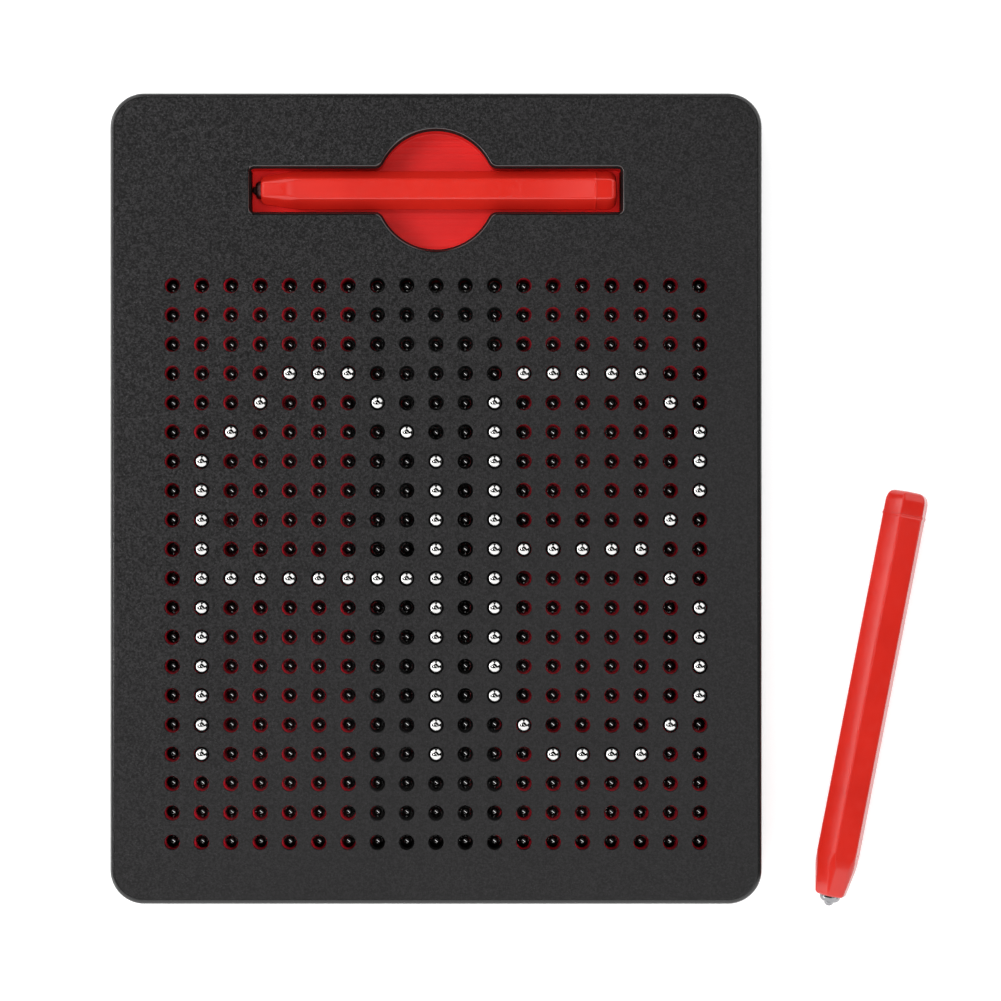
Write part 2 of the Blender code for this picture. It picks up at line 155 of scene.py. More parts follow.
# The groups of balls by column and row: turning points of the raised strokes, the rows with no
# raised ball, and one ball of each lowered area between the strokes
RAISED_STROKES = {
    "beads_a_left_leg": [(1, 6), (1, 16)],
    "beads_a_arch": [(2, 5), (4, 3), (6, 3), (8, 5)],
    "beads_a_right_leg": [(9, 6), (9, 16)],
    "beads_a_crossbar": [(2, 10), (8, 10)],
    "beads_b_spine": [(11, 4), (11, 14)],
    "beads_b_top": [(12, 3), (16, 3)],
    "beads_b_upper_bowl": [(17, 4), (18, 5), (18, 7), (17, 8)],
    "beads_b_waist": [(12, 9), (16, 9)],
    "beads_b_lower_bowl": [(17, 10), (18, 11), (18, 14), (17, 15)],
    "beads_b_foot": [(12, 15), (13, 16), (16, 16)],
}
FULL_ROWS = (0, 1, 2, 17, 18, 19)
LOWERED_AREAS = {
    "beads_left_of_a": (0, 3),
    "beads_in_a_top": (5, 6),
    "beads_in_a_bottom": (5, 13),
    "beads_between_letters": (10, 8),
    "beads_in_b_top": (14, 6),
    "beads_in_b_bottom": (14, 12),
    "beads_right_top": (18, 3),
    "beads_right_middle": (18, 9),
    "beads_right_bottom": (18, 16),
}

# Camera: over the middle of the board, shifted to take in the loose stylus
VIEW_CENTRE = (17.0, -0.5)
VIEW_WIDTH = 263.9
CAMERA_HEIGHT = 770.0
SENSOR = 36.0

# Studio, in metres and watts: each light's name, place, size, turn about its own axis in degrees,
# power, and whether it is there for the reflections (True) or for the even light
WORLD_LIGHT = 0.4
FLOOR_SIZE, FLOOR_GLOW = 3.0, 0.22
SOFT_LIGHTS = [
    ("overhead_key", (0.05, -0.05, 1.3), (0.35, 0.35), 0.0, 4.2, False),
    ("left_key", (-0.75, 0.15, 0.95), (0.5, 0.5), 0.0, 8.0, False),
    ("near_fill", (0.0, -0.98, 0.69), (2.4, 1.5), 0.0, 11.0, False),
    ("far_fill", (0.0, 1.0, 0.69), (2.4, 1.2), 0.0, 7.5, False),
    ("overhead_strip", (0.13, -0.11, 1.1), (1.25, 0.16), 90.0, 1.05, True),
    ("left_softbox", (-0.73, -0.06, 1.0), (0.24, 0.12), 0.0, 1.2, True),
    ("near_softbox", (0.0, -1.0, 0.58), (4.4, 1.3), 0.0, 31.5, True),
    ("far_left_softbox", (-0.82, 0.80, 0.60), (1.5, 1.1), 0.0, 9.0, True),
    ("far_right_softbox", (0.82, 0.80, 0.60), (1.5, 1.1), 0.0, 9.0, True),
    ("low_left_softbox", (-1.2, -0.05, 0.17), (1.6, 0.32), 0.0, 7.5, True),
]


# ---------------------------------------------------------------- mesh tools

class Shape:
    """A closed body built from loops of points, in millimetres."""

    def __init__(self):
        self.mesh = bmesh.new()

    def loop(self, points):
        return [self.mesh.verts.new(Vector(point) * MM) for point in points]

    def bridge(self, first, second, smooth=True, look=0):
        """Faces between two loops; look is their place in the list of materials."""
        for i in range(len(first)):
            j = (i + 1) % len(first)
            face = self.mesh.faces.new((first[i], first[j], second[j], second[i]))
            face.smooth, face.material_index = smooth, look

    def chain(self, loops, smooth=True, look=0):
        for first, second in zip(loops, loops[1:]):
            self.bridge(first, second, smooth, look)

    def cap(self, loop):
        self.mesh.faces.new(loop).smooth = False

    def fill(self, outer, holes):
        """A flat face with holes in it."""
        loops = [outer, *holes]
        corners = [vertex for loop in loops for vertex in loop]
        for triangle in tessellate_polygon([[vertex.co for vertex in loop] for loop in loops]):
            self.mesh.faces.new([corners[i] for i in triangle]).smooth = False

    def turned(self, rings, smooth=True):
        """A body from rings of equally many points, closed at both ends."""
        loops = [self.loop(ring) for ring in rings]
        self.chain(loops, smooth)
        self.cap(loops[0])
        self.cap(loops[-1])

    def finish(self, name, material, slot, body, *nodes):
        """The object itself; material is one, or a tuple that the faces' looks point into."""
        bmesh.ops.recalc_face_normals(self.mesh, faces=self.mesh.faces)
        mesh = bpy.data.meshes.new(name)
        self.mesh.to_mesh(mesh)
        self.mesh.free()
        piece = bpy.data.objects.new(name, mesh)
        bpy.context.scene.collection.objects.link(piece)
        smooth = [face.use_smooth for face in mesh.polygons]
        mesh.set_sharp_from_angle(angle=FLAT_ANGLE)
        mesh.polygons.foreach_set("use_smooth", smooth)
        for look in material if isinstance(material, tuple) else (material,):
            mesh.materials.append(look)
        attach(piece, body)
        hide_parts(*nodes)


def at_height(outline, z):
    return [(x, y, z) for x, y in outline]


def arc(x, y, radius, start, end, steps):
    """Points along an arc, its angles in degrees, with both ends."""
    turns = [math.radians(start + (end - start) * i / steps) for i in range(steps + 1)]
    return [(x + radius * math.cos(turn), y + radius * math.sin(turn)) for turn in turns]


def circle(x, y, radius, sides):
    """A circle that starts at its lower left, as a cell's edge does."""
    return arc(x, y, radius, -135.0, 225.0 - 360.0 / sides, sides - 1)


def rectangle(x0, x1, y0, y1):
    return [(x0, y0), (x1, y0), (x1, y1), (x0, y1)]


def board_outline(inset):
    x, y = WIDTH / 2 - CORNER_RADIUS, HEIGHT / 2 - CORNER_RADIUS
    points = []
    for quarter, (sx, sy) in enumerate(((1, 1), (-1, 1), (-1, -1), (1, -1))):
        start = 90 * quarter
        points += arc(sx * x, sy * y, CORNER_RADIUS - inset, start, start + 90, CORNER_STEPS)
    return points


def slot_outline(grow):
    """The stylus slot and its round finger recess, with a fillet where they meet."""
    half_length, half_width = SLOT_LENGTH / 2 + grow, SLOT_WIDTH / 2 + grow
    radius = RECESS_RADIUS + grow
    fillet, corner = RECESS_FILLET - grow, SLOT_CORNER + grow
    fillet_y = half_width + fillet
    fillet_x = math.sqrt((radius + fillet) ** 2 - fillet_y ** 2)
    meet = math.degrees(math.atan2(fillet_y, fillet_x))
    half = [*arc(half_length - corner, -half_width + corner, corner, -90, 0, SLOT_CORNER_STEPS),
            *arc(half_length - corner, half_width - corner, corner, 0, 90, SLOT_CORNER_STEPS),
            *arc(fillet_x, fillet_y, fillet, -90, meet - 180, FILLET_STEPS),
            *arc(0.0, 0.0, radius, meet, 180 - meet, ARC_STEPS)[1:-1],
            *arc(-fillet_x, fillet_y, fillet, -meet, -90, FILLET_STEPS)]
    return [(side * x, SLOT_Y + side * y) for side in (1, -1) for x, y in half]


def ball_place(cell):
    """Where the ball of a column and a row is, seen from above."""
    column, row = cell
    return (column - (COLUMNS - 1) / 2) * PITCH, FIELD_Y + ((ROWS - 1) / 2 - row) * PITCH


class PiercedField:
    """A block of square cells with a round hole in each, whose edges neighbours share."""

    def __init__(self, shape, columns, profile, top, sides, shift=0.0, blind=False):
        """The profile is the hole's radius and depth, and shift is how far up the board it lies."""
        self.shape, self.columns, self.steps = shape, columns, sides // 4
        self.corners = {}
        bottom = top - profile[-1][1]
        for column in range(columns[0], columns[1] + 1):
            for row in range(ROWS):
                x, y = ball_place((column, row))
                hole = [shape.loop(at_height(circle(x, y + shift, radius, sides), top - depth))
                        for radius, depth in profile]
                shape.bridge(self.cell_edge(x, y, top), hole[0], smooth=False)
                shape.chain(hole)
                if blind:
                    shape.cap(hole[-1])
                else:
                    shape.bridge(hole[-1], self.cell_edge(x, y, bottom), smooth=False)

    def corner(self, x, y, z):
        key = round(x, 3), round(y, 3), round(z, 3)
        if key not in self.corners:
            self.corners[key] = self.shape.mesh.verts.new(Vector((x, y, z)) * MM)
        return self.corners[key]

    def cell_edge(self, x, y, z):
        half = PITCH / 2
        return self.walk((x - half, y - half), (x + half, y + half), z, self.steps, self.steps)

    def walk(self, low, high, z, across, up):
        """Points round a rectangle, anticlockwise from its lowest corner."""
        (x0, y0), (x1, y1) = low, high
        points = [(x0 + (x1 - x0) * i / across, y0) for i in range(across)]
        points += [(x1, y0 + (y1 - y0) * i / up) for i in range(up)]
        points += [(x1 + (x0 - x1) * i / across, y1) for i in range(across)]
        points += [(x0, y1 + (y0 - y1) * i / up) for i in range(up)]
        return [self.corner(x, y, z) for x, y in points]

    def edge(self, z):
        first, last = self.columns
        (x0, y0), (x1, y1) = ball_place((first, ROWS - 1)), ball_place((last, 0))
        half = PITCH / 2
        return self.walk((x0 - half, y0 - half), (x1 + half, y1 + half), z,
                         self.steps * (last - first + 1), self.steps * ROWS)


# ---------------------------------------------------------------- materials

class Nodes:
    """Short ways to wire a procedural material."""

    def __init__(self, name):
        self.material = bpy.data.materials.new(name)
        self.material.use_nodes = True
        self.tree = self.material.node_tree
        self.shader = self.tree.nodes["Principled BSDF"]
        self.place = self.tree.nodes.new("ShaderNodeTexCoord").outputs["Object"]

    def set(self, **values):
        for key, value in values.items():
            self.shader.inputs[key.replace("_", " ")].default_value = value

    def noise(self, scale, detail=2.0, rough=0.5):
        node = self.tree.nodes.new("ShaderNodeTexNoise")
        self.tree.links.new(self.place, node.inputs["Vector"])
        node.inputs["Scale"].default_value = scale
        node.inputs["Detail"].default_value = detail
        node.inputs["Roughness"].default_value = rough
        return node.outputs["Fac"]

    def axis(self, name):
        node = self.tree.nodes.new("ShaderNodeSeparateXYZ")
        self.tree.links.new(self.place, node.inputs["Vector"])
        return node.outputs[name]

    def cells(self, scale):
        node = self.tree.nodes.new("ShaderNodeTexVoronoi")
        self.tree.links.new(self.place, node.inputs["Vector"])
        node.inputs["Scale"].default_value = scale
        return node.outputs["Distance"]

    def span(self, value, low, high, to_low, to_high):
        node = self.tree.nodes.new("ShaderNodeMapRange")
        self.tree.links.new(value, node.inputs["Value"])
        limits = {"From Min": low, "From Max": high, "To Min": to_low, "To Max": to_high}
        for key, number in limits.items():
            node.inputs[key].default_value = number
        return node.outputs["Result"]

    def math(self, operation, first, second):
        node = self.tree.nodes.new("ShaderNodeMath")
        node.operation = operation
        for socket, value in zip(node.inputs, (first, second)):
            if isinstance(value, (int, float)):
                socket.default_value = value
            else:
                self.tree.links.new(value, socket)
        return node.outputs["Value"]

    def mix(self, amount, first, second):
        node = self.tree.nodes.new("ShaderNodeMix")
        node.data_type = "RGBA"
        self.tree.links.new(amount, node.inputs["Factor"])
        for socket, colour in (("A", first), ("B", second)):
            target = [i for i in node.inputs if i.name == socket and i.type == "RGBA"][0]
            if isinstance(colour, tuple):
                target.default_value = colour
            else:
                self.tree.links.new(colour, target)
        return [o for o in node.outputs if o.type == "RGBA"][0]

    def bump(self, height, strength, distance):
        node = self.tree.nodes.new("ShaderNodeBump")
        self.tree.links.new(height, node.inputs["Height"])
        node.inputs["Strength"].default_value = strength
        node.inputs["Distance"].default_value = distance
        self.tree.links.new(node.outputs["Normal"], self.shader.inputs["Normal"])

    def link(self, value, name):
        self.tree.links.new(value, self.shader.inputs[name])


def opaque(*levels):
    """A colour with no transparency; one level alone is a grey."""
    return (*(levels * 3 if len(levels) == 1 else levels), 1.0)


def grained_plastic(name, dark, light, roughness, grain_depth, specular):
    """Moulded plastic with spark-eroded grain and pale specks, and a painted sheen to the upper
    left.
    """
    made = Nodes(name)
    grain = made.noise(1900.0, 4.0, 0.75)
    patches = made.noise(22.0, 2.0, 0.5)
    specks = made.span(made.cells(1300.0), 0.05, 0.2, 1.0, 0.0)
    upper_left = made.math("SUBTRACT", made.axis("Y"), made.axis("X"))
    # Painted sheen: the grain's contrast and the pale specks grow towards the upper left, standing
    # in for light there.
    upper_left_sheen = made.span(upper_left, -0.06, 0.17, 0.45, 1.5)
    swing = made.math("MULTIPLY", made.span(grain, 0.42, 0.62, -0.5, 0.5), upper_left_sheen)
    tone = made.mix(made.math("ADD", swing, 0.5), dark, light)
    specked = made.math("MULTIPLY", specks, made.math("MULTIPLY", upper_left_sheen, 0.3))
    made.link(made.mix(specked, tone, opaque(0.15, 0.15, 0.155)), "Base Color")
    worn = made.math("ADD", made.span(grain, 0.3, 0.7, roughness + 0.05, roughness - 0.05),
                     made.span(patches, 0.3, 0.7, -0.03, 0.03))
    made.link(worn, "Roughness")
    fine = made.math("MULTIPLY", made.noise(900.0, 2.0), 0.6)
    made.bump(made.math("ADD", grain, fine), 0.5, grain_depth)
    made.set(Specular_IOR_Level=specular)
    return made.material


def gloss_plastic(name, deep, bright, roughness, specular, painted_light_colour=None):
    """Glossy moulded plastic with flow marks; far from the middle it brightens to painted light."""
    made = Nodes(name)
    flow = made.noise(60.0, 3.0, 0.55)
    marks = made.noise(700.0, 4.0, 0.6)
    tone = made.mix(made.span(flow, 0.3, 0.7, 0.0, 1.0), deep, bright)
    # Painted light: the colour brightens away from the middle, lifting the shade at the slot's
    # ends.
    if painted_light_colour:
        off_middle = made.math("ABSOLUTE", made.axis("X"), 0.0)
        tone = made.mix(made.span(off_middle, 0.016, 0.044, 0.0, 1.0), tone, painted_light_colour)
    made.link(tone, "Base Color")
    made.link(made.span(marks, 0.35, 0.75, roughness, roughness + 0.12), "Roughness")
    made.bump(flow, 0.12, 0.00008)
    made.set(Specular_IOR_Level=specular)
    return made.material


def rubber(name, colour, dark):
    """Soft rubber with a fine matt grain."""
    made = Nodes(name)
    grain = made.noise(1800.0, 3.0, 0.6)
    made.link(made.mix(made.span(grain, 0.3, 0.7, 0.0, 1.0), dark, colour), "Base Color")
    made.link(made.span(grain, 0.3, 0.7, 0.42, 0.55), "Roughness")
    made.bump(grain, 0.3, 0.00004)
    return made.material


def polished_steel(name, colour, roughness):
    """Polished metal with faint smears and hairline marks."""
    made = Nodes(name)
    smears = made.noise(420.0, 3.0, 0.6)
    tint = opaque(*(0.86 * part for part in colour[:3]))
    made.link(made.mix(made.span(smears, 0.35, 0.7, 0.0, 1.0), colour, tint), "Base Color")
    made.link(made.span(smears, 0.3, 0.75, roughness, roughness + 0.08), "Roughness")
    made.bump(made.noise(2500.0, 2.0), 0.05, 0.00002)
    made.set(Metallic=1.0)
    return made.material


def pale_paper():
    """The studio's floor, which glows faintly so that it stays white."""
    made = Nodes("pale_paper")
    made.link(made.mix(made.noise(6.0), opaque(0.97), opaque(0.99)), "Base Color")
    made.set(Roughness=0.8, Specular_IOR_Level=0.1, Emission_Color=opaque(1.0),
             Emission_Strength=FLOOR_GLOW)
    return made.material


BLACK = grained_plastic("moulded_black_grain", opaque(0.002), opaque(0.026, 0.025, 0.026),
                        0.48, 0.00010, 0.25)
BLACK_EDGE = grained_plastic("rounded_black_edge", opaque(0.008), opaque(0.012), 0.22, 0.00002, 0.5)
BLACK_RIM = grained_plastic("polished_black_rim", opaque(0.004), opaque(0.006), 0.16, 0.00001, 0.9)
# A darker, duller copy of the black: painted shade for the slot's steep wall, the wells and the
# slot's ends.
BLACK_SHADED = grained_plastic("shaded_black", opaque(0.003), opaque(0.006), 0.6, 0.00003, 0.15)
RED = gloss_plastic("glossy_red", opaque(0.49, 0.015, 0.009), opaque(0.56, 0.019, 0.011), 0.13, 0.4)
# The slot floor brightens to painted light towards the slot's ends.
RED_FLOOR = gloss_plastic("ribbed_red_floor", opaque(0.59, 0.016, 0.015),
                          opaque(0.66, 0.020, 0.018), 0.5, 0.25, opaque(0.95, 0.022, 0.020))
RED_SHEET = rubber("red_silicone", opaque(0.94, 0.011, 0.036), opaque(0.81, 0.009, 0.028))
BLACK_SHEET = rubber("black_silicone", opaque(0.016), opaque(0.010))
BALL_STEEL = polished_steel("ball_steel", opaque(0.60, 0.595, 0.59), 0.08)
SCREW_STEEL = polished_steel("screw_steel", opaque(0.50, 0.50, 0.51), 0.24)
NIB_STEEL = polished_steel("nib_chrome", opaque(0.27, 0.27, 0.28), 0.05)
# A darker, reddish copy of the nib steel: painted shade for the docked nib.
NIB_SHADED = polished_steel("shaded_nib", opaque(0.14, 0.06, 0.06), 0.45)
MAGNET = polished_steel("magnet_plate", opaque(0.46, 0.46, 0.47), 0.28)
COVER_LOOKS = (BLACK, BLACK_EDGE, BLACK_RIM, BLACK_SHADED)
FACE_LOOK, EDGE_LOOK, RIM_LOOK, SHADED_LOOK = range(len(COVER_LOOKS))


# ---------------------------------------------------------------- board

def board_loops(shape, profile):
    """Loops round the board from insets and heights."""
    return [shape.loop(at_height(board_outline(inset), z)) for inset, z in profile]


def slot_loops(shape, profile):
    """Loops round the slot from growths and heights."""
    return [shape.loop(at_height(slot_outline(grow), z)) for grow, z in profile]


def round_loops(shape, place, profile, sides):
    """Loops round an upright axis from radii and heights."""
    return [shape.loop(at_height(circle(place.x, place.y, radius, sides), z))
            for radius, z in profile]


def make_cover():
    """The cover: rounded edges, a hole over every ball, and the stylus slot."""
    shape = Shape()
    low = cover_low.z
    side = [(inset, low + height) for inset, height in COVER_FOOT_PROFILE]
    side.append((0.0, FACE_Z - EDGE_RADIUS))
    for step in range(1, EDGE_STEPS + 1):
        turn = math.radians(90 * step / EDGE_STEPS)
        side.append((EDGE_RADIUS * (1 - math.cos(turn)),
                     FACE_Z - EDGE_RADIUS * (1 - math.sin(turn))))
    outer = board_loops(shape, side)
    shape.chain(outer, look=EDGE_LOOK)

    field = PiercedField(shape, (0, COLUMNS - 1), HOLE_PROFILE, FACE_Z, HOLE_SIDES)
    slot = slot_loops(shape, [(grow, FACE_Z - depth) for grow, depth in SLOT_EDGE])
    shape.chain(slot[:-1], look=RIM_LOOK)
    # The slot's steep wall takes the painted shade.
    shape.bridge(*slot[-2:], look=SHADED_LOOK)
    shape.fill(outer[-1], [slot[0], field.edge(FACE_Z)])

    inner = board_loops(shape, [(WALL, UNDERSIDE_Z), (WALL, low)])
    shape.bridge(*inner)
    shape.bridge(inner[-1], outer[0], smooth=False)
    profile = [(BOSS_RADIUS, UNDERSIDE_Z), (BOSS_RADIUS, low), (PILOT_RADIUS, low),
               (PILOT_RADIUS, PILOT_TOP)]
    bosses = []
    for place in SCREW_PLACES:
        boss = round_loops(shape, place, profile, TURNED_SIDES)
        shape.chain(boss)
        shape.cap(boss[-1])
        bosses.append(boss[0])
    shape.fill(inner[0], [slot[-1], field.edge(UNDERSIDE_Z), *bosses])
    shape.finish("pierced_cover", COVER_LOOKS, "black_plastic", "board", "top_cover")


def make_back():
    """The back: a rounded lower edge, screw holes and the lip that locates it in the cover."""
    shape = Shape()
    foot, lip_top = back_low.z, back_high.z
    side = [(inset, foot + height) for inset, height in BACK_LOWER_PROFILE]
    side += [(inset, BACK_TOP - depth) for inset, depth in BACK_UPPER_PROFILE]
    outer = board_loops(shape, side)
    outside = WALL + LIP_CLEARANCE
    inside = outside + LIP_THICKNESS
    lip = board_loops(shape, [
        (outside, BACK_TOP), (outside, lip_top - LIP_CHAMFER), (outside + LIP_CHAMFER, lip_top),
        (inside - LIP_CHAMFER, lip_top), (inside, lip_top - LIP_CHAMFER), (inside, BACK_TOP)])
    shape.chain(outer)
    shape.bridge(outer[-1], lip[0], smooth=False)
    shape.chain(lip)
    below, above = [], []
    for place in SCREW_PLACES:
        hole = [(SCREW_HEAD_HOLE + wider, foot + height) for wider, height in SCREW_HOLE_MOUTH]
        hole += [(SCREW_HEAD_HOLE, SCREW_HEAD_DEPTH), (PILOT_RADIUS, SCREW_HEAD_DEPTH),
                 (PILOT_RADIUS, BACK_TOP)]
        loops = round_loops(shape, place, hole, SCREW_HOLE_SIDES)
        shape.chain(loops)
        below.append(loops[0])
        above.append(loops[-1])
    shape.fill(outer[0], below)
    shape.fill(lip[-1], above)
    shape.finish("moulded_back", BLACK, "black_plastic", "board", "back_cover")


def cross(place, scale):
    """The outline of a screw's cross recess."""
    long, narrow = CROSS_HALF_LENGTH * scale, CROSS_HALF_WIDTH * scale
    points = []
    for turn in range(4):
        c, s = round(math.cos(turn * math.pi / 2)), round(math.sin(turn * math.pi / 2))
        for x, y in ((long, -narrow), (long, narrow), (narrow, narrow)):
            points.append((place.x + c * x - s * y, place.y + s * x + c * y))
    return points


def make_screws():
    """The case screws: a rounded head with a cross recess, and a plain shank."""
    for name, place in zip(SCREW_NODES, SCREW_PLACES):
        low, high = (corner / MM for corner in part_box(name))
        shape = Shape()
        radius = (high.x - low.x) / 2 + SCREW_HEAD_SPREAD
        head_top = low.z + SCREW_HEAD_HEIGHT
        profile = [(radius - inset, low.z + height) for inset, height in SCREW_HEAD_PROFILE]
        profile += [(SCREW_SHANK_RADIUS, head_top), (SCREW_SHANK_RADIUS, high.z - SCREW_TIP_LENGTH),
                    (SCREW_TIP_RADIUS, high.z)]
        loops = round_loops(shape, place, profile, TURNED_SIDES)
        shape.chain(loops)
        shape.cap(loops[-1])
        recess = [shape.loop(at_height(cross(place, scale), z))
                  for scale, z in ((1.0, low.z), (CROSS_TAPER, low.z + CROSS_DEPTH))]
        shape.fill(loops[0], [recess[0]])
        shape.chain(recess, smooth=False)
        shape.cap(recess[-1])
        shape.finish(f"{name}_cross_head", SCREW_STEEL, "steel", "board", name)


def make_sheet(name, material, slot):
    """A soft sheet: a plate with a round seat for every ball."""
    low, high = (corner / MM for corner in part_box(name))
    shape = Shape()
    thick = high.z - low.z
    profile = [(SEAT_RADIUS + wider, depth) for wider, depth in SEAT_MOUTH]
    profile += [(SEAT_RADIUS + wider, thick - height) for wider, height in SEAT_FOOT]
    field = PiercedField(shape, SHEET_COLUMNS[name], profile, high.z, SEAT_SIDES, BALL_SAG)
    outline = rectangle(low.x, high.x, low.y, high.y)
    plate = [shape.loop(at_height(outline, z)) for z in (high.z, low.z)]
    shape.bridge(*plate, smooth=False)
    shape.fill(plate[0], [field.edge(high.z)])
    shape.fill(plate[1], [field.edge(low.z)])
    shape.finish(f"{name}_seats", material, slot, "board", name)


def make_wells():
    """The tray with a round well for each ball."""
    shape = Shape()
    wider, chamfer = WELL_CHAMFER
    profile = [(WELL_RADIUS + wider, 0.0), (WELL_RADIUS, chamfer),
               (WELL_RADIUS, WELL_DEPTH - WELL_SLOPE), (WELL_FLOOR_RADIUS, WELL_DEPTH)]
    field = PiercedField(shape, (0, COLUMNS - 1), profile, tray_high.z, SEAT_SIDES, blind=True)
    outline = rectangle(tray_low.x, tray_high.x, tray_low.y, tray_high.y)
    block = [shape.loop(at_height(outline, z)) for z in (tray_high.z, tray_low.z)]
    shape.bridge(*block, smooth=False)
    shape.fill(block[0], [field.edge(tray_high.z)])
    shape.cap(block[1])
    # The wells take the darker black, a painted shade.
    shape.finish("bead_wells", BLACK_SHADED, "black_plastic", "board", "bead_tray")


def add_ribs(shape):
    """Fine ribs across the floor of the finger recess."""
    half_width = RIB_WIDTH / 2
    crown = RIB_CROWN * half_width
    section = [(-half_width, RIB_FOOT), (-half_width, RIB_SHOULDER), (-crown, RIB_HEIGHT),
               (crown, RIB_HEIGHT), (half_width, RIB_SHOULDER), (half_width, RIB_FOOT)]
    reach = RECESS_RADIUS - RIB_GAP
    count = int(reach / RIB_PITCH)
    for number in range(-count, count + 1):
        y = number * RIB_PITCH
        half = math.sqrt(reach ** 2 - y ** 2)
        ends = [shape.loop([(x, SLOT_Y + y + dy, SLOT_FLOOR_Z + dz) for dy, dz in section])
                for x in (-half, half)]
        shape.bridge(*ends)
        shape.cap(ends[0])
        shape.cap(ends[1])


def make_slot_floor():
    """The red tray under the slot, with walls up to the face."""
    shape = Shape()
    foot, top = slot_low.z, slot_high.z
    wall, inside, chamfer = SLOT_TRAY_WALL, SLOT_TRAY_INSIDE, SLOT_TRAY_CHAMFER
    profile = [(wall - chamfer, foot), (wall, foot + chamfer), (wall, top),
               (inside + chamfer, top), (inside, top - chamfer)]
    profile += [(grow, SLOT_FLOOR_Z + height) for grow, height in SLOT_FLOOR_PROFILE]
    rings = slot_loops(shape, profile)
    shape.chain(rings)
    shape.fill(rings[0], [])
    shape.fill(rings[-1], [])
    add_ribs(shape)
    shape.finish("ribbed_slot_floor", RED_FLOOR, "red_plastic", "board", "stylus_tray")


def make_slot_end_shade_plates():
    """Dark plates at both ends of the slot: painted shade that draws the dark line round it."""
    shape = Shape()
    half_width = SLOT_WIDTH / 2 - END_SHADE_INSET
    for side in (1, -1):
        x0, x1 = sorted(side * (SLOT_LENGTH / 2 + grow) for grow in (0.0, END_SHADE_THICKNESS))
        block = rectangle(x0, x1, SLOT_Y - half_width, SLOT_Y + half_width)
        heights = (SLOT_FLOOR_Z + END_SHADE_FOOT, slot_high.z - END_SHADE_TOP_GAP)
        shape.turned([at_height(block, z) for z in heights], smooth=False)
    shape.finish("slot_end_shade_plates", BLACK_SHADED, "black_plastic", "board", "stylus_tray")


# ---------------------------------------------------------------- balls

def stroke_cells(turning_points):
    """Every cell along a stroke that runs straight or diagonally between its turning points."""
    cells = [turning_points[0]]
    for end in turning_points[1:]:
        while cells[-1] != end:
            step = [(b > a) - (b < a) for a, b in zip(cells[-1], end)]
            cells.append((cells[-1][0] + step[0], cells[-1][1] + step[1]))
    return cells


def area_cells(seed, taken):
    """Every cell that can be reached from the seed without crossing a stroke or a full row."""
    found, waiting = set(), [seed]
    while waiting:
        cell = waiting.pop()
        inside = 0 <= cell[0] < COLUMNS and 0 <= cell[1] < ROWS and cell[1] not in FULL_ROWS
        if cell in found or cell in taken or not inside:
            continue
        found.add(cell)
        waiting += [(cell[0] + dx, cell[1] + dy) for dx, dy in ((1, 0), (-1, 0), (0, 1), (0, -1))]
    return found


def add_ball(shape, centre, segments, rings):
    """One steel ball."""
    ball = bmesh.ops.create_uvsphere(shape.mesh, u_segments=segments, v_segments=rings,
                                     radius=BALL_RADIUS * MM)["verts"]
    bmesh.ops.translate(shape.mesh, verts=ball, vec=Vector(centre) * MM)
    for face in {face for vertex in ball for face in vertex.link_faces}:
        face.smooth = True


def make_balls():
    """The balls of each group in one piece: the raised strokes, the full rows and the areas."""
    groups = {name: stroke_cells(points) for name, points in RAISED_STROKES.items()}
    raised = {cell for cells in groups.values() for cell in cells}
    for row in FULL_ROWS:
        groups[f"beads_row_{row + 1:02d}"] = [(column, row) for column in range(COLUMNS)]
    for name, seed in LOWERED_AREAS.items():
        groups[name] = sorted(area_cells(seed, raised))
    for name, cells in groups.items():
        up = name in RAISED_STROKES
        sag, z = (0.0, BALL_UP_Z) if up else (BALL_SAG, BALL_DOWN_Z)
        shape = Shape()
        for cell in cells:
            x, y = ball_place(cell)
            add_ball(shape, (x, y + sag, z), *(UP_BALL_STEPS if up else DOWN_BALL_STEPS))
        shape.finish(f"{name}_balls", BALL_STEEL, "steel", name, name)


# ---------------------------------------------------------------- styluses

def hexagon_ring(along, apothem, half_facet, bulge):
    """A section of the stylus: six facets, and between them six narrow ones that round it."""
    sector = math.pi / 3
    support = min(FACET_SUPPORT, FACET_SUPPORT_SHARE * half_facet)
    side = [(math.hypot(apothem, reach), math.atan2(reach, apothem))
            for reach in (-half_facet, -half_facet + support, half_facet - support, half_facet)]
    edge, edge_turn = side[-1]
    side.append((edge * math.cos(edge_turn - sector / 2) + bulge, sector / 2))
    ring = []
    for facet in range(6):
        for radius, turn in side:
            angle = turn + sector / 2 + facet * sector
            ring.append((along, radius * math.cos(angle), radius * math.sin(angle)))
    return ring


def round_ring(along, radius):
    turns = [2 * math.pi * i / ROUND_SIDES for i in range(ROUND_SIDES)]
    return [(along, radius * math.cos(turn), radius * math.sin(turn)) for turn in turns]


def round_rings(origin, profile):
    """Round sections from distances past the origin and radii."""
    return [round_ring(origin + past, radius) for past, radius in profile]


def body_rings(origin, profile):
    """Hexagonal sections from distances past the origin and shares of the full section."""
    return [hexagon_ring(origin + past, HALF_FLATS * size, HALF_FACET * size, CORNER_BULGE * size)
            for past, size in profile]


